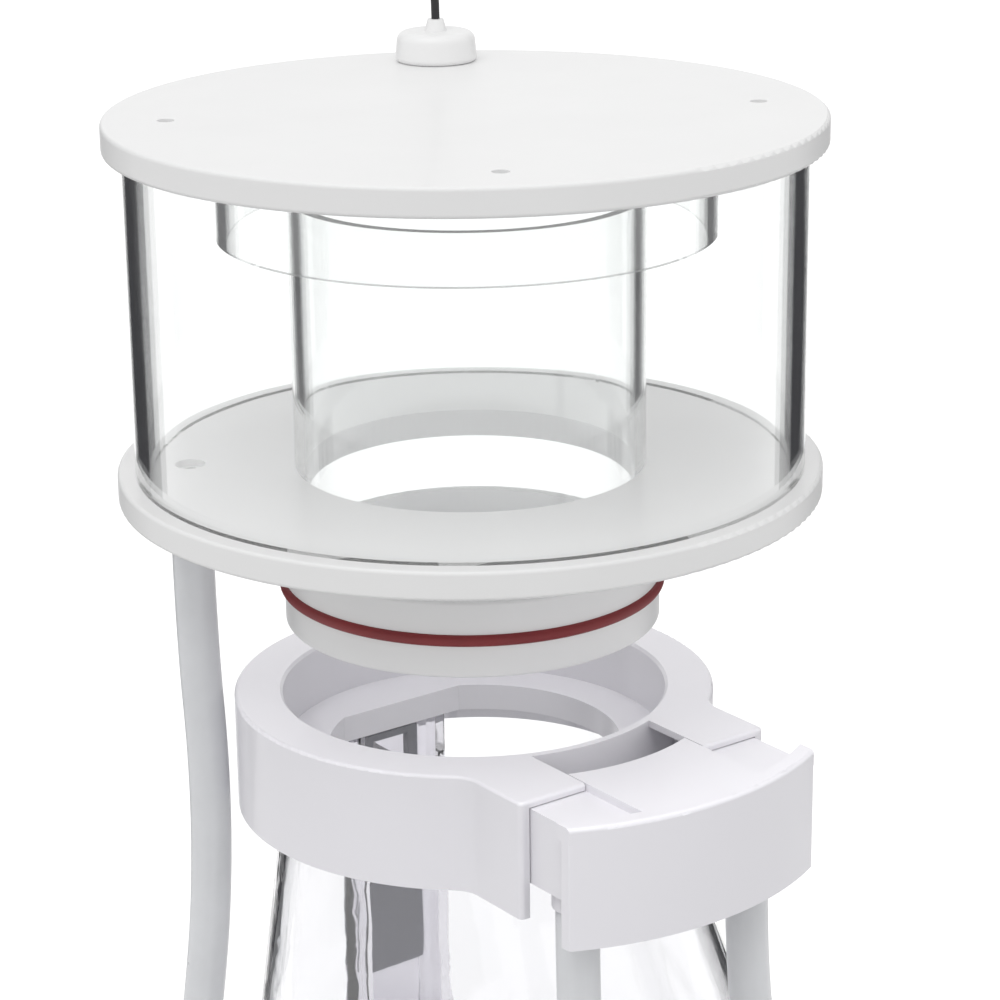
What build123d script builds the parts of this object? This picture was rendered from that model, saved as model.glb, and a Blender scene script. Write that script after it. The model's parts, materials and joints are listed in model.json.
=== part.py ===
from build123d import *
import os
from math import cos, pi, radians, sin, sqrt, tan

# Protein skimmer for an aquarium sump, in millimetres. +Z is up, the silencer faces -Y, and the
# origin is the middle of the footprint of the neck's axis on the floor. The collection cup is
# lifted 40 mm out of its seat, and the silencer is drawn 15 mm out of the collar.

# ---- driving dimensions ----
cup_tube_d = 190.0          # clear tube of the collection cup
cup_tube_wall = 4.0
cup_tube_h = 91.0
riser_d = 100.0             # clear riser tube in the middle of the cup
riser_wall = 3.0
riser_gap = 14.0            # from the riser's top edge to the underside of the lid
lid_over = 5.0              # the lid and the cup's base stand this far out round the clear tube
lid_t = 8.0
cup_base_t = 8.0
splash_gap = 4.0            # splash ring hanging under the lid, inside the float by this much
splash_wall = 3.0
splash_drop = 24.5
spigot_wall = 4.0           # spigot round the riser
collar_wall = 14.0          # ring on top of the reaction chamber, round the bore that takes the spigot
collar_h = 34.0
seat_depth = 18.0
neck_h = 17.0               # bare riser tube between the cup's base and the spigot
spigot_h = 22.0
hose_d = 12.0               # drain hose and air hoses
cable_d = 2.5               # lead of the overflow sensor
cone_h = 160.0              # oblique upper part of the reaction chamber
cone_lean = 30.0            # the lower chamber's axis stands this far in front of the neck's
chamber_d = 190.0
chamber_h = 120.0
cup_lifted = 40.0           # height of the cup above its seat
drawer_out = 15.0           # how far the silencer is drawn out

# ---- clearances ----
slide_gap = 0.4             # silencer in its guides, each side
lid_gap = 0.3               # between faces that rest on each other across a joint
seal_gap = 0.3              # O-ring to the collar's bore
shaft_gap = 0.05            # pump shaft in its bushes
float_gap = 0.4             # float on its stem

# ---- plain sizes ----
wall = 3.0                  # acrylic and moulded walls
edge = 1.0                  # rounded outer edges
spigot_gap = 1.8            # spigot to the collar's bore, closed by the O-ring
oring_section = 3.4
oring_proud = 1.5
shelf_t = 8.0               # inner shelf of the collar
shelf_w = 13.0              # width of the shelf, from the bore to its opening
channel_inset = 5.6         # flat front of the outlet channel and of the shelf, inside the opening's edge
channel_gap = 0.8           # back corners of the outlet channel to the chamber's neck
channel_x = 15.5
channel_wall = 2.5
channel_z0 = 78.0
wing_x = 42.8               # outer sides of the two guides that carry the silencer
wing_wall = 3.0
roof_t = 2.0                # roof of each guide
mouth_x = 20.9              # half of the gap between the two roofs
panel_t = 4.0               # curved front of the silencer
silencer_reach = 25.2       # outer curve of the silencer in front of the collar, pushed home
pocket_wall = 3.0           # wall between the collar's bore and the silencer
lip_t = 4.4                 # height of the silencer lid's front lip
lip_w = 5.0
box_depth = 24.0            # underside of the silencer's box below the collar's rim
hose_x = 30.0               # air hoses each side of the middle
hose_inset = 23.0           # air hoses behind the silencer's outer curve
barb_h = 6.0
barb_r = 7.0
barb_bore_r = 3.6
foot_h = 5.0
foot_r = 9.0
screw_r = 2.0
pan_h = 1.8                 # height of the screws' heads
base_t = 8.0
base_margin = 8.0           # base plate round the chamber
base_front = 42.0           # base plate in front of the pump's axis
base_half = 86.0
plate_z = 62.0              # bubble plate
plate_t = 5.0
pillar_r = 5.0
sensor_angle = 60.0         # the overflow sensor, and the vent holes a quarter turn apart
cap_r = 12.4
cap_taper = 0.9
cap_h = 9.0
nub_r = 2.4
nub_h = 3.5
float_r = 8.0
sensor_stem_r = 3.0
drain_inset = 11.0          # drain hole's axis to the clear tube's inside
drain_angle = 146.0
drain_bore_r = 4.5
hank_h = 54.0               # folded and tied length of the sensor's lead
hank_x = 25.0
hank_y = 16.0
plug_shift = 5.2            # the lead leaves the hank at its outer face
plug_r = 5.0
plug_h = 24.0
pump_gap = 14.0             # motor to the chamber
pump_lift = 6.0             # motor above the base plate
motor_r = 33.0
motor_x = 42.0
volute_r = 36.0
volute_x = 66.0
wheel_r = 27.0
shaft_r = 3.0
outlet_x = 57.0
outlet_drop = 19.0          # pump's outlets below its axis
outlet_r = 9.0
outlet_in = 7.0             # outlet tubes end this far inside the chamber's wall
intake_r = 12.0
nozzle_x = 77.0             # air nozzles on the pump's covers
nozzle_rise = 40.0          # nozzles' tops above the pump's axis
spout_out = 25.3            # outlet spout behind the channel
spout_half = 10.0
spout_wall = 2.0
spout_top = 10.0            # outlet spout's top and bottom below the collar
spout_low = 40.0
gate_half = 10.0
gate_t = 2.6
gate_gap = 0.5
gate_top = 4.0              # gate's top below the shelf when shut
gate_h = 79.0
gate_travel = 16.0          # drop that brings the window in front of the spout
window_half = 6.5           # window near the gate's upper end
window_top = 2.0            # window below the gate's top
window_h = 12.0
knob_r = 5.0
knob_stem_r = 1.6

# ---- heights ----
base_z = foot_h
floor_z = base_z + base_t
cone_z = floor_z + chamber_h
collar_z = cone_z + cone_h
rim_z = collar_z + collar_h
shelf_z = rim_z - seat_depth
spigot_z = shelf_z + cup_lifted
cup_z = spigot_z + spigot_h + neck_h
cup_floor_z = cup_z + cup_base_t
cup_top_z = cup_floor_z + cup_tube_h
lid_z = cup_top_z + lid_gap
lid_top_z = lid_z + lid_t
riser_top_z = cup_top_z - riser_gap
gate_z = shelf_z - shelf_t - gate_top
pump_z = floor_z + pump_lift + motor_r
outlet_z = pump_z - outlet_drop
nozzle_top = pump_z + nozzle_rise

# ---- radii worked out from the above ----
cup_r = cup_tube_d / 2
cup_in_r = cup_r - cup_tube_wall
riser_r = riser_d / 2
tube_lap = 4.0              # the riser stops this far above the spigot's lower end
bore_r = riser_r - riser_wall
lid_r = cup_r + lid_over
spigot_r = riser_r + spigot_wall
seat_r = spigot_r + spigot_gap
collar_r = seat_r + collar_wall
shelf_r = seat_r - shelf_w
pocket_r = seat_r + pocket_wall
silencer_r = collar_r + silencer_reach
chamber_r = chamber_d / 2
neck_r = seat_r + 1.0       # outer radius of the chamber's top, inside the collar
channel_front = shelf_r - channel_inset
channel_back = min(sqrt((neck_r - wall - channel_gap)**2 - channel_x**2),
                   sqrt((chamber_r - wall - channel_gap)**2 - channel_x**2) - cone_lean)
duct_y = channel_back - channel_wall
spout_end = channel_back + spout_out
hose_r = hose_d / 2
hose_out = silencer_r - hose_inset + drawer_out
sensor_r = cup_in_r - float_r - 1.0
splash_r = sensor_r - float_r - splash_gap
drain_r = cup_in_r - drain_inset
pump_y = -(cone_lean + chamber_r + pump_gap + motor_r)
outlet_end = outlet_in - cone_lean - sqrt(chamber_r**2 - outlet_x**2)
screw_circle = chamber_r - 12.0
drawer_x = wing_x - wing_wall - slide_gap
drawer_back_r = pocket_r + 0.8
panel_back_r = silencer_r - panel_t
wing_end = sqrt((silencer_r - max(panel_t, lip_w))**2 - wing_x**2) - lid_gap
sides = (("left", -1), ("right", 1))

up = (Align.CENTER, Align.CENTER, Align.MIN)


def disc(r, z0, z1, x=0.0, y=0.0):
    """An upright cylinder between two heights."""
    return Pos(x, y, z0) * Cylinder(r, z1 - z0, align=up)


def ring(r_out, r_in, z0, z1, x=0.0, y=0.0):
    """An upright tube between two heights."""
    return disc(r_out, z0, z1, x, y) - disc(r_in, z0 - 1, z1 + 1, x, y)


def block(x0, x1, y0, y1, z0, z1):
    """A box given by its six faces."""
    return Pos(x0, y0, z0) * Box(x1 - x0, y1 - y0, z1 - z0, align=(Align.MIN, Align.MIN, Align.MIN))


def rod_x(r, x0, x1, y, z):
    """A cylinder along X."""
    return Pos(min(x0, x1), y, z) * Rot(0, 90, 0) * Cylinder(r, abs(x1 - x0), align=up)


def rod_y(r, y0, y1, x, z):
    """A cylinder along Y."""
    return Pos(x, y0, z) * Rot(-90, 0, 0) * Cylinder(r, y1 - y0, align=up)


def polar(r, angle):
    """The plan position at a radius and an angle in degrees."""
    return r * cos(radians(angle)), r * sin(radians(angle))


def rounded_disc(r, z0, z1, e=edge):
    """A disc with both outer rims rounded."""
    d = disc(r, z0, z1)
    return fillet(d.edges().filter_by(GeomType.CIRCLE), e)


def hollow_loft(inset):
    """The oblique cone of the chamber, shrunk by an even inset."""
    low = Pos(0, -cone_lean, cone_z) * Circle(chamber_r - inset)
    high = Pos(0, 0, collar_z) * Circle(neck_r - inset)
    return loft([low, high], ruled=True)


def tube_along(points, r):
    """A round tube along straight runs joined by arcs as large as the runs allow."""
    p = [Vector(*q) for q in points]
    radii = []
    for a, b, c in zip(p, p[1:], p[2:]):
        turn = (b - a).get_angle(c - b)
        radii.append(0.45 * min((b - a).length, (c - b).length) / tan(radians(turn / 2)))
    path = FilletPolyline(*points, radius=radii)
    start = Plane(origin=p[0], z_dir=p[1] - p[0])
    tube = sweep(start * Circle(r), path=path, transition=Transition.ROUND)
    print("radii", [round(x, 1) for x in radii], "length", round(path.length, 1),
          "volume ratio", round(tube.volume / (pi * r * r * path.length), 4))
    return tube


# ---- base and reaction chamber ----
def make_base_plate():
    y0 = pump_y - base_front
    y1 = -2 * cone_lean
    plan = Pos(0, -cone_lean) * Circle(chamber_r + base_margin)
    plan += Pos(0, (y0 + y1) / 2) * RectangleRounded(2 * base_half, y1 - y0, 14)
    plate = extrude(Pos(0, 0, base_z) * plan, base_t)
    for x, y in foot_places():
        plate -= disc(screw_r + 0.2, base_z - 1, floor_z + 1, x, y)
    return plate


def foot_places():
    """One foot under the neck's axis, four round the chamber and two under the front corners."""
    front = pump_y - base_front + 14
    places = [(0, 0), (14 - base_half, front), (base_half - 14, front)]
    for angle in (57, 123, 213, 327):
        x, y = polar(screw_circle, angle)
        places.append((x, y - cone_lean))
    return places


def make_feet():
    return Compound([disc(foot_r, 0, foot_h, x, y) - disc(screw_r + 0.2, 2, foot_h + 1, x, y)
                     for x, y in foot_places()])


def make_foot_screws():
    return Compound([disc(screw_r, 2.5, floor_z, x, y) + disc(2 * screw_r, floor_z, floor_z + pan_h, x, y)
                     for x, y in foot_places()])


def make_lower_chamber():
    tube = ring(chamber_r, chamber_r - wall, floor_z, cone_z, 0, -cone_lean)
    for _, s in sides:
        tube -= rod_y(outlet_r, pump_y, outlet_end, s * outlet_x, outlet_z)
    return tube


def make_chamber_ring():
    r = ring(chamber_r + 4, chamber_r + 0.02, cone_z - 8, cone_z + 6, 0, -cone_lean)
    outer = r.edges().filter_by(GeomType.CIRCLE).filter_by(lambda e: e.radius > chamber_r + 3)
    return fillet(outer, 1.5)


def make_chamber_cone():
    top = collar_z + collar_h - seat_depth - shelf_t
    shell = hollow_loft(0) + disc(neck_r, collar_z, top)
    inner = hollow_loft(wall) + disc(neck_r - wall, collar_z - 0.01, top + 1)
    shell -= inner
    return shell - spout_block(0)


def spout_block(inset):
    """The outlet spout's outer box, shrunk by its wall."""
    x = spout_half - inset
    z0 = collar_z - spout_low + inset
    return block(-x, x, channel_back, spout_end, z0, collar_z - spout_top - inset)


def spout_way():
    """The water's way through the spout and the channel's back wall."""
    x = spout_half - spout_wall
    z0 = collar_z - spout_low + spout_wall
    return block(-x, x, duct_y - 1, spout_end + 1, z0, collar_z - spout_top - spout_wall)


def make_outlet_spout():
    return spout_block(0) - spout_way()


def make_outlet_channel():
    top = shelf_z - shelf_t
    x = channel_x - channel_wall
    y0 = channel_front + channel_wall
    y1 = duct_y
    duct = block(-channel_x, channel_x, channel_front, channel_back, channel_z0, top)
    duct -= block(-x, x, y0, y1, channel_z0 - 1, top + 1)
    for _, s in sides:
        low = gate_z - gate_h - gate_travel - 2
        guide = block(gate_half + 0.3, x + 1, y1 - gate_t - 2 * gate_gap, y1 + 1, low, top)
        duct += guide if s > 0 else mirror(guide, Plane.YZ)
    return duct - spout_way()


def make_gate_plate():
    """The gate, with a window that stands above the spout while the gate is shut."""
    y1 = duct_y - gate_gap
    gate = block(-gate_half, gate_half, y1 - gate_t, y1, gate_z - gate_h, gate_z)
    z1 = gate_z - window_top
    window = block(-window_half, window_half, y1 - gate_t - 1, y1 + 1, z1 - window_h, z1)
    return gate - window


def make_gate_knob():
    y0 = duct_y - gate_gap
    y1 = spout_end + 1.5
    z = collar_z - 17
    knob = rod_y(knob_r, y1, y1 + 7, 0, z)
    knob = chamfer(knob.edges().filter_by(GeomType.CIRCLE), 0.8)
    return rod_y(knob_stem_r, y0, y1, 0, z) + knob


def make_bubble_plate():
    plate_r = chamber_r - wall - lid_gap
    plate = disc(plate_r, plate_z, plate_z + plate_t, 0, -cone_lean)
    holes = []
    row = 1
    while 2 + 18 * row < plate_r - 12:
        for i in range(8 * row):
            x, y = polar(2 + 18 * row, 360 * (i + 0.5) / (8 * row))
            holes.append(disc(3.0, plate_z - 1, plate_z + plate_t + 1, x, y - cone_lean))
        row += 1
    return plate - holes


def make_plate_pillars():
    pillars = []
    for a in (30, 150, 270):
        x, y = polar(47, a)
        pillars.append(disc(pillar_r, floor_z, plate_z, x, y - cone_lean))
    return Compound(pillars)


# ---- collar and silencer ----
def make_collar():
    body = disc(collar_r, collar_z, rim_z)
    body += block(-wing_x, wing_x, -wing_end, 0, collar_z, rim_z)
    joint_y = -sqrt(collar_r**2 - wing_x**2)
    uprights = body.edges().filter_by(Axis.Z)
    body = fillet(uprights.filter_by(lambda e: abs(e.center().Y - joint_y) < 1), 9)
    corners = body.edges().filter_by(Axis.Z).filter_by(lambda e: e.center().Y < -wing_end + 1)
    body = fillet(corners, 1.5)
    body = fillet(body.edges().group_by(Axis.Z)[-1], edge)
    guides = block(-wing_x + wing_wall, wing_x - wing_wall, -wing_end - 2, 0, collar_z - 1, rim_z - roof_t)
    mouth = block(-mouth_x, mouth_x, -wing_end - 2, 0, rim_z - roof_t - 1, rim_z + 1)
    keep = disc(pocket_r, collar_z - 2, rim_z + 2)
    body -= guides - keep
    body -= mouth - keep
    body -= disc(seat_r, shelf_z, rim_z + 1)
    body -= disc(neck_r + 0.05, collar_z - 1, shelf_z - shelf_t)
    opening = disc(shelf_r, shelf_z - shelf_t - 1, shelf_z + 1)
    opening -= block(-shelf_r, shelf_r, channel_front, shelf_r + 1, shelf_z - shelf_t - 2, shelf_z + 2)
    body -= opening
    seat_rim = body.edges().filter_by(GeomType.CIRCLE)
    seat_rim = seat_rim.filter_by(lambda e: abs(e.radius - seat_r) < 0.01 and e.center().Z > rim_z - 0.1)
    return chamfer(seat_rim, 0.8)


def drawer_plan(half_width, r_in, r_out, z0, z1):
    """A slab between two arcs about the neck's axis and two sides, as it lies pushed home."""
    slab = disc(r_out, z0, z1) - disc(r_in, z0 - 1, z1 + 1)
    return slab & block(-half_width, half_width, -r_out - 1, -20, z0, z1)


def drawn(solid):
    """Moves a silencer piece from home to where it is drawn out."""
    return Pos(0, -drawer_out, 0) * solid


def make_silencer_box():
    z0 = rim_z - box_depth
    z1 = rim_z - lip_t
    shell = drawer_plan(drawer_x, drawer_back_r, panel_back_r + 1, z0, z1)
    shell -= drawer_plan(drawer_x - 2, drawer_back_r + 2, panel_back_r - 0.5, z0 + 2, z1 + 1)
    shell += drawer_plan(wing_x, panel_back_r, silencer_r, collar_z - 1, z1)
    for _, s in sides:
        shell -= disc(barb_bore_r, z0 - 1, z0 + 3, s * hose_x, drawer_out - hose_out)
    ends = shell.edges().filter_by(Axis.Z).filter_by(lambda e: abs(e.center().X) > wing_x - 0.1)
    return drawn(fillet(ends.filter_by(lambda e: e.length > 20), 0.8))


def make_silencer_lid():
    z0 = rim_z - lip_t
    z1 = rim_z - roof_t - lid_gap
    lid = drawer_plan(drawer_x, drawer_back_r, silencer_r - 1, z0, z1)
    lid += drawer_plan(mouth_x - lid_gap, drawer_back_r, silencer_r - 1, z0, rim_z)
    lid += drawer_plan(wing_x, silencer_r - lip_w, silencer_r, z0, rim_z)
    front = lid.edges().filter_by(GeomType.CIRCLE)
    front = front.filter_by(lambda e: abs(e.radius - silencer_r) < 0.01 and e.center().Z > rim_z - 0.1)
    return drawn(fillet(front, 1.2))


def make_silencer_foam():
    z0 = rim_z - box_depth + 2.3
    foam = drawer_plan(drawer_x - 2.5, drawer_back_r + 2.5, panel_back_r - 1, z0, rim_z - lip_t - 3)
    return drawn(foam)


def make_air_barbs():
    z1 = rim_z - box_depth
    return Compound([ring(barb_r, barb_bore_r, z1 - barb_h, z1, s * hose_x, -hose_out) for _, s in sides])


def air_hose_route(s):
    top = rim_z - box_depth - barb_h
    return [(s * hose_x, -hose_out, top), (s * hose_x, -hose_out, 260.0), (s * 31.5, -94.0, 222.0),
            (s * 39.0, -111.0, 186.0), (s * 56.0, -136.0, 158.0), (s * 71.0, -160.0, 140.0),
            (s * nozzle_x, pump_y, nozzle_top + 26), (s * nozzle_x, pump_y, nozzle_top)]


# ---- pump ----
def make_pump_motor():
    motor = rod_x(motor_r, -motor_x, motor_x, pump_y, pump_z)
    for x in (-24, -16, -8, 0, 8, 16, 24):
        motor += rod_x(motor_r + 1.5, x - 1.5, x + 1.5, pump_y, pump_z)
    motor -= rod_x(15.5, -motor_x + 6, motor_x - 6, pump_y, pump_z)
    return motor - rod_x(6, -motor_x - 1, motor_x + 1, pump_y, pump_z)


def make_pump_cradle():
    cradle = block(-30, 30, pump_y - 26, pump_y + 26, floor_z, pump_z - 16)
    return cradle - rod_x(motor_r + 1.5, -31, 31, pump_y, pump_z)


def make_shaft_bushes():
    bushes = []
    for _, s in sides:
        bush = rod_x(6, s * (motor_x - 6), s * motor_x, pump_y, pump_z)
        bushes.append(bush - rod_x(shaft_r + shaft_gap, s * (motor_x - 7), s * (motor_x + 1), pump_y, pump_z))
    return Compound(bushes)


def make_volute(s):
    x0 = s * motor_x
    x1 = s * volute_x
    body = rod_x(volute_r, x0, x1, pump_y, pump_z)
    body += rod_y(outlet_r, pump_y, outlet_end, s * outlet_x, outlet_z)
    body -= rod_x(volute_r - wall, x0 + s * 2.5, x1 + s, pump_y, pump_z)
    body -= rod_x(7, x0 - s, x0 + s * 3, pump_y, pump_z)
    return body - rod_y(outlet_r - 2, pump_y + 5, outlet_end + 1, s * outlet_x, outlet_z)


def make_volute_cover(s):
    x0 = s * volute_x
    x1 = s * (volute_x + wall)
    tip = s * (volute_x + 18)
    cover = rod_x(volute_r, x0, x1, pump_y, pump_z)
    cover += rod_x(intake_r + 2, x1 - s * 0.5, tip, pump_y, pump_z)
    cover += disc(4.2, pump_z + intake_r, nozzle_top - barb_h, s * nozzle_x, pump_y)
    cover += disc(6.5, nozzle_top - barb_h, nozzle_top, s * nozzle_x, pump_y)
    cover -= rod_x(intake_r, x0 - s, tip + s, pump_y, pump_z)
    return cover - disc(2.6, pump_z, nozzle_top + 1, s * nozzle_x, pump_y)


def make_cover_screws():
    screws = []
    for _, s in sides:
        for i in range(4):
            a = radians(45 + 90 * i)
            y = pump_y + 28 * cos(a)
            z = pump_z + 28 * sin(a)
            x0 = s * (volute_x + wall)
            screws.append(rod_x(2.6, x0, x0 + s * pan_h, y, z))
    return Compound(screws)


def make_rotor_shaft():
    return rod_x(shaft_r, -volute_x + 3, volute_x - 3, pump_y, pump_z)


def make_rotor_magnet():
    return rod_x(15.1, -26, 26, pump_y, pump_z) - rod_x(shaft_r, -27, 27, pump_y, pump_z)


def make_needle_wheel(s):
    x0 = s * 47
    wheel = rod_x(wheel_r, x0, x0 + s * 3, pump_y, pump_z)
    wheel += rod_x(6, x0, x0 + s * 14, pump_y, pump_z)
    for n, r in ((8, 12), (12, 18), (16, 24)):
        for i in range(n):
            a = 2 * pi * i / n
            wheel += rod_x(1.2, x0 + s * 2, x0 + s * 14, pump_y + r * cos(a), pump_z + r * sin(a))
    return wheel - rod_x(shaft_r, -80, 80, pump_y, pump_z)


def make_cable_gland():
    gland = rod_y(6, pump_y - motor_r - 9, pump_y - motor_r + 2, 0, pump_z - 6)
    gland -= rod_x(motor_r + 1.5, -10, 10, pump_y, pump_z)
    return gland - rod_y(3, pump_y - motor_r - 10, pump_y - motor_r - 3, 0, pump_z - 6)


# ---- collection cup ----
def make_cup_base():
    plate = rounded_disc(lid_r, cup_z, cup_floor_z)
    plate -= disc(riser_r, cup_z - 1, cup_floor_z + 1)
    x, y = polar(drain_r, drain_angle)
    return plate - disc(drain_bore_r, cup_z - 1, cup_floor_z + 1, x, y)


def make_cup_tube():
    return ring(cup_r, cup_in_r, cup_floor_z, cup_top_z)


def make_riser_tube():
    return ring(riser_r, bore_r, spigot_z + tube_lap, riser_top_z)


def make_spigot():
    spigot = rounded_disc(spigot_r, spigot_z, spigot_z + spigot_h)
    spigot -= disc(riser_r, spigot_z + tube_lap, spigot_z + spigot_h + 1)
    spigot -= disc(bore_r, spigot_z - 1, spigot_z + tube_lap + 1)
    return spigot - make_spigot_oring()


def make_spigot_oring():
    """The O-ring in its groove round the spigot."""
    r = spigot_r + oring_proud - oring_section / 2
    return Pos(0, 0, spigot_z + spigot_h / 2) * Torus(r, oring_section / 2)


def make_drain_barb():
    x, y = polar(drain_r, drain_angle)
    barb = disc(drain_bore_r, cup_z - 1, cup_floor_z - 2, x, y) + disc(8.0, cup_z - 8, cup_z, x, y)
    return barb - disc(3.2, cup_z - 9, cup_floor_z + 1, x, y)


def drain_route():
    x, y = polar(drain_r, drain_angle)
    top = cup_z - 8
    return [(x, y, top), (x, y, top - 36), (x + 1.8, y - 1.2, top - 78),
            (x + 1.0, y - 0.6, top - 118), (x - 2.0, y + 2.6, top - 157), (x - 7.0, y + 7.4, top - 198),
            (x - 11.0, y + 11.4, top - 240), (x - 12.4, y + 13.4, top - 282), (x - 12.4, y + 13.4, top - 318)]


def make_drain_plug():
    x, y, z = drain_route()[-1]
    plug = disc(7.0, z - 4, z, x, y) + disc(4.0, z - 12, z - 3, x, y)
    return plug


# ---- lid and overflow sensor ----
def make_lid():
    lid = rounded_disc(lid_r, lid_z, lid_top_z)
    for i in range(4):
        x, y = polar(sensor_r, sensor_angle + 90 * i)
        if i == 0:
            lid -= disc(4.0, lid_z - 1, lid_top_z + 1, x, y)
        else:
            lid -= disc(2.4, lid_top_z - 2.5, lid_top_z + 1, x, y)
    return lid


def make_splash_ring():
    return ring(splash_r, splash_r - splash_wall, lid_z - splash_drop, lid_z)


def make_sensor_cap():
    x, y = polar(sensor_r, sensor_angle)
    cap = Cone(cap_r, cap_r - cap_taper, cap_h, align=up)
    cap = fillet(cap.edges().group_by(Axis.Z)[0], 1.4)
    cap = fillet(cap.edges().group_by(Axis.Z)[-1], 2.8)
    cap += Pos(0, 0, cap_h) * Cone(nub_r + 0.9, nub_r, nub_h, align=up)
    return Pos(x, y, lid_top_z) * cap


def make_sensor_stem():
    x, y = polar(sensor_r, sensor_angle)
    stem = disc(4.0, lid_z, lid_top_z, x, y) + disc(sensor_stem_r, lid_z - 30, lid_z, x, y)
    return stem + disc(5.0, lid_z - 32, lid_z - 30, x, y)


def make_float():
    x, y = polar(sensor_r, sensor_angle)
    body = ring(float_r, sensor_stem_r + float_gap, lid_z - 29.7, lid_z - 14, x, y)
    rims = body.edges().filter_by(GeomType.CIRCLE).filter_by(lambda e: e.radius > 7)
    return fillet(rims, 1.5)


def sensor_route():
    x, y = polar(sensor_r, sensor_angle)
    z = lid_top_z
    return [(x, y, z + 12.5), (x, y, z + 31), (x - 6.4, y + 6.0, z + 50),
            (x - 20.0, y + 19.0, z + 61), (x - 40.5, y + 36.0, z + 63), (x - 63.5, y + 54.0, z + 57),
            (x - 90.5, y + 71.5, z + 44), (x - 115.0, y + 84.5, z + 15), (x - 128.0, y + 89.5, z - 26),
            (x - 133.5, y + 90.0, z - 72), (x - 134.5, y + 88.0, z - 120), (x - 134.5, y + 88.0, z - 165)]


def make_sensor_hank():
    x, y, z = sensor_route()[-1]
    hank = Pos(x, y, z - hank_h) * Box(hank_x, hank_y, hank_h, align=up)
    return fillet(hank.edges(), 5.0)


def make_sensor_plug():
    x, y, z = sensor_route()[-1]
    plug = disc(plug_r, z - hank_h - plug_h, z - hank_h, x, y + plug_shift)
    return chamfer(plug.edges().filter_by(GeomType.CIRCLE), 0.8)


nodes = {
    "base_plate": make_base_plate(),
    "rubber_feet": make_feet(),
    "foot_screws": make_foot_screws(),
    "lower_chamber": make_lower_chamber(),
    "chamber_ring": make_chamber_ring(),
    "chamber_cone": make_chamber_cone(),
    "outlet_spout": make_outlet_spout(),
    "outlet_channel": make_outlet_channel(),
    "gate_plate": make_gate_plate(),
    "gate_knob": make_gate_knob(),
    "bubble_plate": make_bubble_plate(),
    "plate_pillars": make_plate_pillars(),
    "collar": make_collar(),
    "silencer_box": make_silencer_box(),
    "silencer_lid": make_silencer_lid(),
    "silencer_foam": make_silencer_foam(),
    "air_barbs": make_air_barbs(),
    "pump_motor": make_pump_motor(),
    "pump_cradle": make_pump_cradle(),
    "shaft_bushes": make_shaft_bushes(),
    "cover_screws": make_cover_screws(),
    "rotor_shaft": make_rotor_shaft(),
    "rotor_magnet": make_rotor_magnet(),
    "cable_gland": make_cable_gland(),
    "cup_base": make_cup_base(),
    "cup_tube": make_cup_tube(),
    "riser_tube": make_riser_tube(),
    "spigot": make_spigot(),
    "spigot_oring": make_spigot_oring(),
    "drain_barb": make_drain_barb(),
    "drain_hose": tube_along(drain_route(), hose_r),
    "drain_plug": make_drain_plug(),
    "lid": make_lid(),
    "splash_ring": make_splash_ring(),
    "sensor_cap": make_sensor_cap(),
    "sensor_stem": make_sensor_stem(),
    "sensor_float": make_float(),
    "sensor_cable": tube_along(sensor_route(), cable_d / 2),
    "sensor_hank": make_sensor_hank(),
    "sensor_plug": make_sensor_plug(),
}
for side, s in sides:
    nodes["air_hose_" + side] = tube_along(air_hose_route(s), hose_r)
    nodes["volute_" + side] = make_volute(s)
    nodes["volute_cover_" + side] = make_volute_cover(s)
    nodes["needle_wheel_" + side] = make_needle_wheel(s)

os.makedirs("parts", exist_ok=True)
for name, solid in nodes.items():
    export_step(solid, "parts/" + name + ".step")
print(len(nodes), "nodes")
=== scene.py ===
import bpy, json
from math import cos, pi, radians, sin
from mathutils import Matrix, Vector


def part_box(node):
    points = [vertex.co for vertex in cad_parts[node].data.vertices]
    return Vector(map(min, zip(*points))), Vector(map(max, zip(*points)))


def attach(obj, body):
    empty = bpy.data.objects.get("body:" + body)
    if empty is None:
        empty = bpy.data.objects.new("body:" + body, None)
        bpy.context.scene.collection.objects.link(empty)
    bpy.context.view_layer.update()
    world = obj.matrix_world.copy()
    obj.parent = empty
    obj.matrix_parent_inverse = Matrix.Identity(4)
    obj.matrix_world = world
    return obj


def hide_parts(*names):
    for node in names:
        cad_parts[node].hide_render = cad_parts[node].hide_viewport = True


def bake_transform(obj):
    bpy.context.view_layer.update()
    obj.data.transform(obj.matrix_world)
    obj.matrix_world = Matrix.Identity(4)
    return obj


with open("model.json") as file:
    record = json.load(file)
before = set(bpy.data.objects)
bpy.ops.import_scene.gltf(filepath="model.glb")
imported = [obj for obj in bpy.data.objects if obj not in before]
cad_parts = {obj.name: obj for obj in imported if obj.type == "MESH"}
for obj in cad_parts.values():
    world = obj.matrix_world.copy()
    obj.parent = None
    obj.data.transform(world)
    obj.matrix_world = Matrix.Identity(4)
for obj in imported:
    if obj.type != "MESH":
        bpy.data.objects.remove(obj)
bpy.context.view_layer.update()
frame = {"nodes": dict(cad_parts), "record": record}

MM = 0.001
CAMERA_AZIMUTH = 36.0       # the silencer points this far to the right of the camera
SENSOR_RADIUS, SENSOR_ANGLE = 0.082, 60.0
DRAIN_RADIUS, DRAIN_ANGLE = 0.080, 146.0
HOSE_D, CABLE_D = 0.012, 0.0025
HORIZON, ZENITH, KEY = 1.0, 0.85, 0.75      # strengths of the sky and the key light
LOW_KEY = 1.15                              # the body's own light, which the lifted cup doesn't shade
GLOW, BOUNCE = 0.62, 0.42                   # white floor as seen, and as it lights the object


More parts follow.
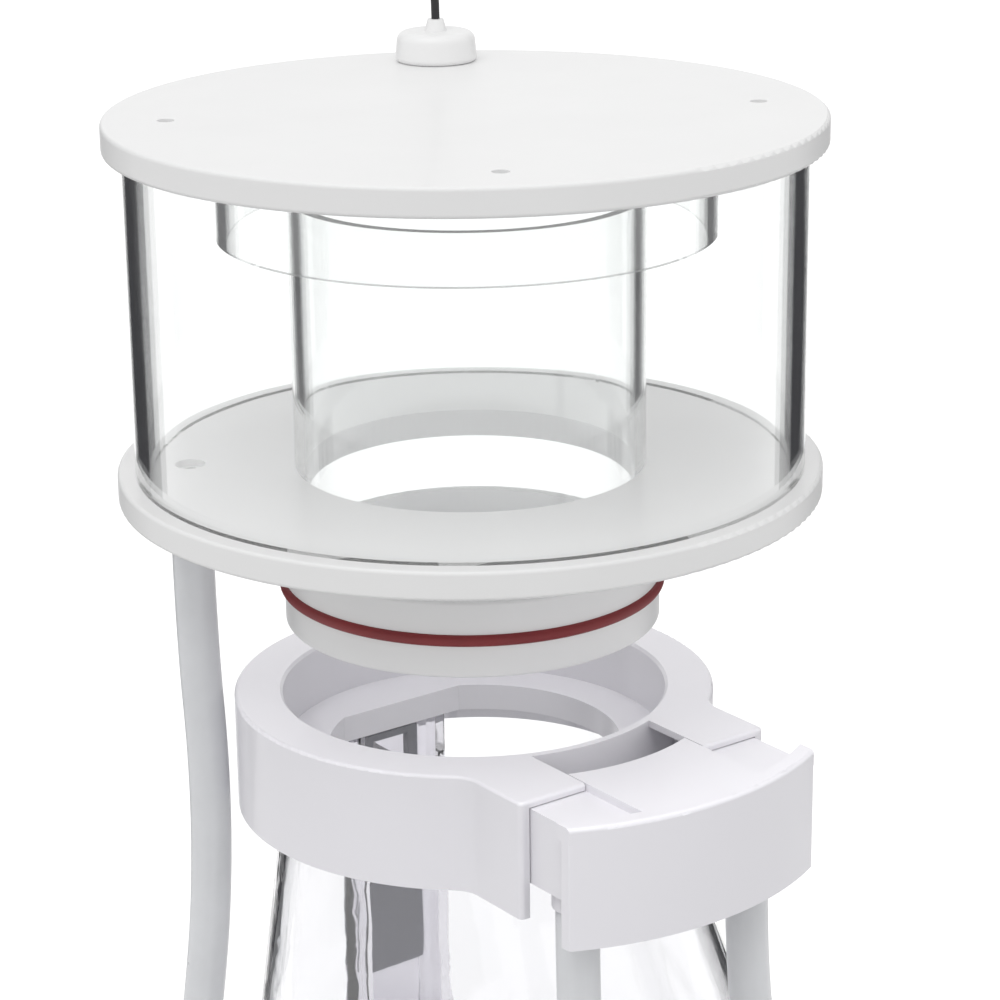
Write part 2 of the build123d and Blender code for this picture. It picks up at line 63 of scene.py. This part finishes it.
# ---------------------------------------------------------------- node helpers
def new_material(name):
    """A material with its principled shader and a helper that adds and links nodes."""
    mat = bpy.data.materials.new(name)
    mat.use_nodes = True
    tree = mat.node_tree
    shader = tree.nodes["Principled BSDF"]

    def add(kind, **inputs):
        node = tree.nodes.new(kind)
        for key, value in inputs.items():
            socket = node.inputs[key.replace("_", " ")]
            if isinstance(value, bpy.types.NodeSocket):
                tree.links.new(value, socket)
            else:
                socket.default_value = value
        return node

    return mat, shader, add


def link(shader, name, socket):
    shader.id_data.links.new(socket, shader.inputs[name])


def noise(add, coords, scale, detail=3.0, rough=0.55):
    return add("ShaderNodeTexNoise", Vector=coords, Scale=scale, Detail=detail, Roughness=rough)


def spread(add, value, low, high, start=0.3, end=0.7):
    """Maps a 0 to 1 pattern to a range."""
    node = add("ShaderNodeMapRange", Value=value)
    node.inputs["From Min"].default_value = start
    node.inputs["From Max"].default_value = end
    node.inputs["To Min"].default_value = low
    node.inputs["To Max"].default_value = high
    return node.outputs["Result"]


def blend_colors(add, factor, a, b):
    node = add("ShaderNodeMix")
    node.data_type = "RGBA"
    tree = node.id_data
    tree.links.new(factor, node.inputs["Factor"])
    node.inputs["A"].default_value = (*a, 1)
    node.inputs["B"].default_value = (*b, 1)
    return node.outputs["Result"]


def shade(color, k):
    return tuple(min(1.0, c * k) for c in color)


def surface(name, color, rough, vary=0.03, rough_vary=0.06, blotch=18.0, grain=1400.0, bump=0.03,
            depth=0.00005, coat=0.0, dust=0.0):
    """An opaque moulded or machined surface: slow tone variation, uneven gloss and fine grain."""
    mat, shader, add = new_material(name)
    coords = add("ShaderNodeTexCoord").outputs["Object"]
    tone = noise(add, coords, blotch, 4.0).outputs["Fac"]
    fine = noise(add, coords, grain, 2.0).outputs["Fac"]
    smear = noise(add, coords, blotch * 3.1, 5.0, 0.65).outputs["Fac"]
    base = blend_colors(add, spread(add, tone, 0.0, 1.0), shade(color, 1 - vary), shade(color, 1 + vary))
    link(shader, "Base Color", base)
    link(shader, "Roughness", spread(add, smear, rough, rough + rough_vary))
    height = add("ShaderNodeBump", Strength=bump, Distance=depth, Height=fine)
    link(shader, "Normal", height.outputs["Normal"])
    shader.inputs["Coat Weight"].default_value = coat
    shader.inputs["Coat Roughness"].default_value = 0.08
    shader.inputs["Sheen Weight"].default_value = dust
    return mat


def clear(name, tint, rough=0.01, ripple=0.05, streak=(14.0, 14.0, 3.0)):
    """Clear acrylic: cast tube has long faint ripples and a trace of haze."""
    mat, shader, add = new_material(name)
    coords = add("ShaderNodeTexCoord").outputs["Object"]
    mapping = add("ShaderNodeMapping", Vector=coords)
    mapping.inputs["Scale"].default_value = streak
    wave = noise(add, mapping.outputs["Vector"], 2.0, 1.0).outputs["Fac"]
    haze = noise(add, coords, 60.0, 4.0).outputs["Fac"]
    height = add("ShaderNodeBump", Strength=ripple, Distance=0.002, Height=wave)
    link(shader, "Normal", height.outputs["Normal"])
    link(shader, "Roughness", spread(add, haze, rough, rough + 0.02))
    shader.inputs["Base Color"].default_value = (*tint, 1)
    shader.inputs["Transmission Weight"].default_value = 1.0
    shader.inputs["IOR"].default_value = 1.49
    return mat


def silicone(name, color):
    """Translucent white hose: soft, slightly see-through, with extrusion lines and a dusty bloom."""
    mat, shader, add = new_material(name)
    coords = add("ShaderNodeTexCoord").outputs["Object"]
    mapping = add("ShaderNodeMapping", Vector=coords)
    mapping.inputs["Scale"].default_value = (900.0, 900.0, 20.0)
    lines = noise(add, mapping.outputs["Vector"], 1.0, 2.0).outputs["Fac"]
    tone = noise(add, coords, 45.0, 4.0).outputs["Fac"]
    mix = spread(add, tone, 0, 1)
    link(shader, "Base Color", blend_colors(add, mix, shade(color, 0.96), shade(color, 1.03)))
    link(shader, "Roughness", spread(add, tone, 0.26, 0.38))
    height = add("ShaderNodeBump", Strength=0.08, Distance=0.0002, Height=lines)
    link(shader, "Normal", height.outputs["Normal"])
    shader.inputs["Subsurface Weight"].default_value = 0.35
    shader.inputs["Subsurface Radius"].default_value = (0.004, 0.004, 0.004)
    shader.inputs["Subsurface Scale"].default_value = 1.0
    return mat


def foam(name, color):
    """Open-cell filter foam, with painted shade darkening its pores."""
    mat, shader, add = new_material(name)
    coords = add("ShaderNodeTexCoord").outputs["Object"]
    cells = add("ShaderNodeTexVoronoi", Vector=coords, Scale=900.0).outputs["Distance"]
    # painted shade: the pores at the cell centres are darkened to 0.3 of the foam's colour
    depth = spread(add, cells, 0, 1, 0.0, 0.6)
    link(shader, "Base Color", blend_colors(add, depth, shade(color, 0.3), color))
    height = add("ShaderNodeBump", Strength=0.9, Distance=0.001, Height=cells)
    link(shader, "Normal", height.outputs["Normal"])
    shader.inputs["Roughness"].default_value = 0.95
    return mat


MATERIALS = {
    "white_body": surface("white_body", (0.735, 0.725, 0.760), 0.30, vary=0.010, grain=500.0, bump=0.02,
                          coat=0.20),
    "white_cup": surface("white_cup", (0.80, 0.80, 0.80), 0.38, vary=0.010, grain=400.0, bump=0.02,
                         coat=0.05),
    "clear_acrylic": clear("clear_acrylic", (0.985, 0.992, 0.99)),
    "chamber_acrylic": clear("chamber_acrylic", (0.93, 0.93, 0.94), rough=0.02),
    "channel_acrylic": clear("channel_acrylic", (0.80, 0.79, 0.82), rough=0.03, ripple=0.01),
    "grey_acrylic": surface("grey_acrylic", (0.10, 0.105, 0.125), 0.12, vary=0.10, blotch=30.0, coat=0.5),
    "rubber": surface("rubber", (0.03, 0.03, 0.032), 0.65, vary=0.15, bump=0.25, grain=2500.0, dust=0.2),
    "nylon": surface("nylon", (0.72, 0.715, 0.69), 0.42, vary=0.03, bump=0.12, grain=1800.0),
    "foam": foam("foam", (0.10, 0.10, 0.11)),
    "pump_black": surface("pump_black", (0.022, 0.022, 0.026), 0.38, vary=0.15, bump=0.35, grain=2600.0,
                          dust=0.05),
    "pump_white": surface("pump_white", (0.74, 0.74, 0.76), 0.30, vary=0.02, bump=0.10, grain=1900.0),
    "bush": surface("bush", (0.78, 0.76, 0.70), 0.18, vary=0.03, bump=0.05),
    "ceramic_shaft": surface("ceramic_shaft", (0.86, 0.85, 0.80), 0.10, vary=0.02, bump=0.02, coat=0.5),
    "magnet": surface("magnet", (0.03, 0.03, 0.035), 0.28, vary=0.10, bump=0.15),
    "red_seal": surface("red_seal", (0.19, 0.010, 0.013), 0.52, vary=0.10, blotch=60.0, bump=0.05),
    "white_hose": silicone("white_hose", (0.70, 0.71, 0.73)),
    "float_black": surface("float_black", (0.05, 0.05, 0.05), 0.6, vary=0.12, bump=0.4, grain=2200.0),
    "cable": surface("cable", (0.012, 0.012, 0.014), 0.40, vary=0.2, blotch=80.0, bump=0.2, grain=2400.0),
    "wheel_red": surface("wheel_red", (0.50, 0.03, 0.03), 0.32, vary=0.05, bump=0.1),
}
# nodes of one slot that are a different shade of it
SHADES = {"chamber_cone": "chamber_acrylic", "lower_chamber": "chamber_acrylic",
          "outlet_spout": "chamber_acrylic", "outlet_channel": "channel_acrylic"}
ROUNDED = {"white_body": 0.0004, "white_cup": 0.0004, "pump_white": 0.0006, "nylon": 0.0003}


def dress_cad():
    """Every CAD node that stays visible gets its procedural material, and hard mouldings a small round."""
    slots = {s["node"]: s["material_slot"] for s in frame["record"]["subparts"]}
    for node, slot in slots.items():
        obj = frame["nodes"][node]
        for s in obj.material_slots:
            s.material = MATERIALS[SHADES.get(node, slot)]
        if slot == "clear_acrylic":
            obj.visible_diffuse = False
            obj.visible_shadow = False
        if slot in ROUNDED:
            bevel = obj.modifiers.new("small round", "BEVEL")
            bevel.width = ROUNDED[slot]
            bevel.segments = 2
            bevel.limit_method = "ANGLE"
            bevel.angle_limit = radians(50)
            bevel.harden_normals = True


# ---------------------------------------------------------------- cords
def polar(radius, angle):
    return radius * cos(radians(angle)), radius * sin(radians(angle))


def nurbs(name, points, diameter, material):
    """A round cord on one smooth spline through its control points."""
    curve = bpy.data.curves.new(name, "CURVE")
    curve.dimensions = "3D"
    spline = curve.splines.new("NURBS")
    spline.points.add(len(points) - 1)
    for point, place in zip(spline.points, points):
        point.co = (*place, 1)
    spline.order_u = 3
    spline.use_endpoint_u = True
    spline.resolution_u = 8
    curve.bevel_depth = diameter / 2
    curve.bevel_resolution = 6
    curve.use_fill_caps = True
    obj = bpy.data.objects.new(name, curve)
    bpy.context.collection.objects.link(obj)
    curve.materials.append(MATERIALS[material])
    return obj


def centre_line(name, points):
    """Points read from a route's spline."""
    line = nurbs(name, points, 0.0, "cable")
    mesh = bpy.data.meshes.new_from_object(line)
    found = [v.co.copy() for v in mesh.vertices]
    bpy.data.objects.remove(line)
    bpy.data.meshes.remove(mesh)
    return found


def tube_mesh(name, path, radius, material, bore=0.7, sides=28):
    """A hose with its wall: an outer and an inner skin along a path, joined at both ends."""
    rings = []
    side = Vector((1, 0, 0))
    for i, p in enumerate(path):
        ahead = path[min(i + 1, len(path) - 1)] - path[max(i - 1, 0)]
        ahead.normalize()
        side = (side - ahead * side.dot(ahead)).normalized()
        rings.append((p, side.copy(), ahead.cross(side)))
    vertices = []
    for r in (radius, radius * bore):
        for p, a, b in rings:
            for k in range(sides):
                t = 2 * pi * k / sides
                vertices.append(p + (a * cos(t) + b * sin(t)) * r)
    n = len(rings)
    faces = []
    for k in range(sides):
        j = (k + 1) % sides
        for i in range(n - 1):
            o = i * sides
            q = (n + i) * sides
            faces.append((o + k, o + j, o + sides + j, o + sides + k))
            faces.append((q + j, q + k, q + sides + k, q + sides + j))
        last = (n - 1) * sides
        inner = n * sides
        faces.append((k, inner + k, inner + j, j))
        faces.append((last + j, inner + last + j, inner + last + k, last + k))
    mesh = bpy.data.meshes.new(name)
    mesh.from_pydata(vertices, [], faces)
    mesh.polygons.foreach_set("use_smooth", [True] * len(faces))
    obj = bpy.data.objects.new(name, mesh)
    bpy.context.collection.objects.link(obj)
    mesh.materials.append(MATERIALS[material])
    return obj


def drain_hose():
    """The hose under the cup, hanging from its barb down to a plug."""
    x, y = polar(DRAIN_RADIUS, DRAIN_ANGLE)
    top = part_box("drain_hose")[1][2]
    steps = [(0, 0, 0), (0, 0, 36), (1.8, -1.2, 78), (1.0, -0.6, 118), (-2.0, 2.6, 157), (-7.0, 7.4, 198),
             (-11.0, 11.4, 240), (-12.4, 13.4, 282), (-12.4, 13.4, 318)]
    route = [(x + a * MM, y + b * MM, top - c * MM) for a, b, c in steps]
    path = centre_line("drain_line", route)
    hose = tube_mesh("drain_hose_skin", path, HOSE_D / 2, "white_hose")
    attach(hose, "cup")
    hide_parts("drain_hose")


def hank_turns(x, y, middle):
    """The lead's folded length: long flat turns, side by side, wound from the back to the front."""
    turns, points, per_turn = 9, [], 14
    half = 16.0 * MM
    for i in range(turns * per_turn + 1):
        turn = i / per_turn
        t = 2 * pi * turn
        layer = int(turn)
        r = (8.2 + 1.3 * (layer % 2) + 0.25 * sin(layer * 2.1)) * MM
        shift = -half if sin(t) > 0.001 else half
        depth = (-6.2 + 8.4 * turn / turns) * MM
        points.append((x + r * cos(t), y + depth, middle + shift - r * sin(t)))
    return points


def sensor_lead():
    """The overflow sensor's lead: over the side of the cup and down to a tied hank and a connector."""
    x, y = polar(SENSOR_RADIUS, SENSOR_ANGLE)
    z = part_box("lid")[1][2]
    steps = [(0, 0, 12.5), (0, 0, 31), (-6.4, 6.0, 50), (-20.0, 19.0, 61), (-40.5, 36.0, 63),
             (-63.5, 54.0, 57), (-90.5, 71.5, 44), (-115.0, 84.5, 15), (-128.0, 89.5, -26),
             (-133.5, 90.0, -72), (-134.5, 88.0, -120)]
    route = [(x + a * MM, y + b * MM, z + c * MM) for a, b, c in steps]
    hank_low, hank_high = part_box("sensor_hank")
    hx = (hank_low[0] + hank_high[0]) / 2
    hy = (hank_low[1] + hank_high[1]) / 2
    middle = (hank_low[2] + hank_high[2]) / 2
    way_in = [(0.4, -0.6, 36), (3.2, -2.4, 28), (6.8, -4.8, 22)]
    way_out = [(8.3, 3.2, 4), (7.2, 4.2, -5), (4.0, 5.0, -14), (0.8, 5.2, -21), (0, 5.2, -25), (0, 5.2, -28)]
    points = route + [(hx + a * MM, hy + b * MM, middle + c * MM) for a, b, c in way_in]
    points += hank_turns(hx, hy, middle)
    points += [(hx + a * MM, hy + b * MM, middle + c * MM) for a, b, c in way_out]
    lead = nurbs("sensor_lead", points, CABLE_D, "cable")
    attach(lead, "lid")
    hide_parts("sensor_cable", "sensor_hank")
    tie = band("hank_tie", (hx, hy, middle), 11.2 * MM, 6.9 * MM, 3.6 * MM, "pump_black")
    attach(tie, "lid")


def band(name, centre, half_x, half_y, height, material):
    """A flat strap round a bundle."""
    outline = []
    count = 32
    for k in range(count):
        t = 2 * pi * k / count
        c, s = cos(t), sin(t)
        outline.append((abs(c) ** 0.7 * (1 if c > 0 else -1), abs(s) ** 0.7 * (1 if s > 0 else -1)))
    vertices, faces = [], []
    for grow, level in ((0, -1), (0.0009, -1), (0.0009, 1), (0, 1)):
        for a, b in outline:
            vertices.append((centre[0] + a * (half_x + grow), centre[1] + b * (half_y + grow),
                             centre[2] + level * height / 2))
    for ring in range(4):
        for k in range(count):
            j = (k + 1) % count
            nxt = (ring + 1) % 4
            faces.append((ring * count + k, ring * count + j, nxt * count + j, nxt * count + k))
    mesh = bpy.data.meshes.new(name)
    mesh.from_pydata(vertices, [], faces)
    obj = bpy.data.objects.new(name, mesh)
    bpy.context.collection.objects.link(obj)
    mesh.materials.append(MATERIALS[material])
    return obj


def air_hoses():
    """The two hoses from the silencer to the pump. Their tops start at the height of the CAD hoses' tops."""
    for side, s in (("left", -1), ("right", 1)):
        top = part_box("air_hose_" + side)[1][2] / MM
        steps = [(30, -87, top), (30, -87, 260), (31.5, -94, 222), (39, -111, 186), (56, -136, 158),
                 (71, -160, 140), (77, -172, 118), (77, -172, 92)]
        route = [(s * a * MM, b * MM, c * MM) for a, b, c in steps]
        path = centre_line("air_line_" + side, route)
        hose = tube_mesh("air_hose_skin_" + side, path, HOSE_D / 2, "white_hose")
        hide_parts("air_hose_" + side)
        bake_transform(hose)


# ---------------------------------------------------------------- stage
BODIES = frame["record"]["behaviour"]["bodies"]
BODY_NODES = set(BODIES["body"] + BODIES["silencer"])


def stage():
    """A plain white floor, soft light and two black cards behind the object."""
    world = bpy.data.worlds.new("studio")
    bpy.context.scene.world = world
    world.use_nodes = True
    nodes, links = world.node_tree.nodes, world.node_tree.links
    background = nodes["Background"]
    coords = nodes.new("ShaderNodeTexCoord")
    split = nodes.new("ShaderNodeSeparateXYZ")
    links.new(coords.outputs["Generated"], split.inputs[0])
    sky = nodes.new("ShaderNodeMapRange")
    sky.inputs["From Min"].default_value = 0.1
    sky.inputs["From Max"].default_value = 0.9
    sky.inputs["To Min"].default_value = HORIZON
    sky.inputs["To Max"].default_value = ZENITH
    links.new(split.outputs["Z"], sky.inputs["Value"])
    links.new(sky.outputs["Result"], background.inputs["Strength"])
    background.inputs["Color"].default_value = (1, 1, 1, 1)

    for name, albedo, glow, depth in (("floor", 0.5, GLOW, 0.0), ("floor_bounce", BOUNCE, 0.0, 0.002)):
        bpy.ops.mesh.primitive_plane_add(size=14, location=(0, 0, -depth))
        floor = bpy.context.object
        floor.name = name
        mat, shader, _ = new_material(name)
        shader.inputs["Base Color"].default_value = (albedo, albedo, albedo, 1)
        shader.inputs["Roughness"].default_value = 0.8
        shader.inputs["Specular IOR Level"].default_value = 0.0
        shader.inputs["Emission Color"].default_value = (1, 1, 1, 1)
        shader.inputs["Emission Strength"].default_value = glow
        floor.data.materials.append(mat)
        seen = name == "floor"
        floor.visible_camera = floor.visible_glossy = floor.visible_transmission = seen
        floor.visible_diffuse = not seen
        floor.visible_shadow = False

    for name, power, tilt, side, low in (("key", KEY, 30, 25, False), ("low_key", LOW_KEY, 20, 10, True)):
        sun = bpy.data.lights.new(name, "SUN")
        sun.energy = power
        sun.angle = radians(50)
        key = bpy.data.objects.new(name, sun)
        key.rotation_euler = (radians(tilt), 0, radians(-CAMERA_AZIMUTH - side))
        bpy.context.collection.objects.link(key)
        if low:
            lit = bpy.data.collections.new("lit_by_" + name)
            for node, obj in frame["nodes"].items():
                if node in BODY_NODES:
                    lit.objects.link(obj)
            key.light_linking.receiver_collection = lit
            key.light_linking.blocker_collection = lit

    black, dark, _ = new_material("card_black")
    dark.inputs["Base Color"].default_value = (0.07, 0.07, 0.075, 1)
    dark.inputs["Roughness"].default_value = 1.0
    dark.inputs["Specular IOR Level"].default_value = 0.0
    turn = Matrix.Rotation(radians(-CAMERA_AZIMUTH), 4, "Z")
    inner, outer, behind, top = 0.25, 0.70, 0.45, 0.80
    for name, s in (("card_left", -1), ("card_right", 1)):
        outline = ((inner, 0), (outer, 0), (outer, top), (inner, top))
        corners = [turn @ Vector((s * x, behind, z)) for x, z in outline]
        mesh = bpy.data.meshes.new(name)
        mesh.from_pydata(corners, [], [(0, 1, 2, 3)])
        card = bpy.data.objects.new(name, mesh)
        bpy.context.collection.objects.link(card)
        card.visible_camera = card.visible_diffuse = card.visible_shadow = False
        mesh.materials.append(black)


def camera():
    """A long lens looking down at the cup, set so that the object fills the frame as photographed."""
    data = bpy.data.cameras.new("camera")
    data.sensor_width = 36.0
    data.lens = 108.6
    data.shift_x = -0.014
    data.clip_end = 30.0
    cam = bpy.data.objects.new("camera", data)
    bpy.context.collection.objects.link(cam)
    away = 0.8218
    lid_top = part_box("lid")[1][2]
    turn = radians(CAMERA_AZIMUTH)
    place = Matrix.Translation((-away * sin(turn), -away * cos(turn), lid_top + 0.1553))
    look = Matrix.Rotation(-turn - 0.0149, 4, "Z") @ Matrix.Rotation(pi / 2 - 0.3153, 4, "X")
    cam.matrix_world = place @ look @ Matrix.Rotation(-0.0102, 4, "Z")
    bpy.context.scene.camera = cam


stage()
camera()
dress_cad()
drain_hose()
sensor_lead()
air_hoses()
bpy.context.scene.view_settings.view_transform = "Standard"
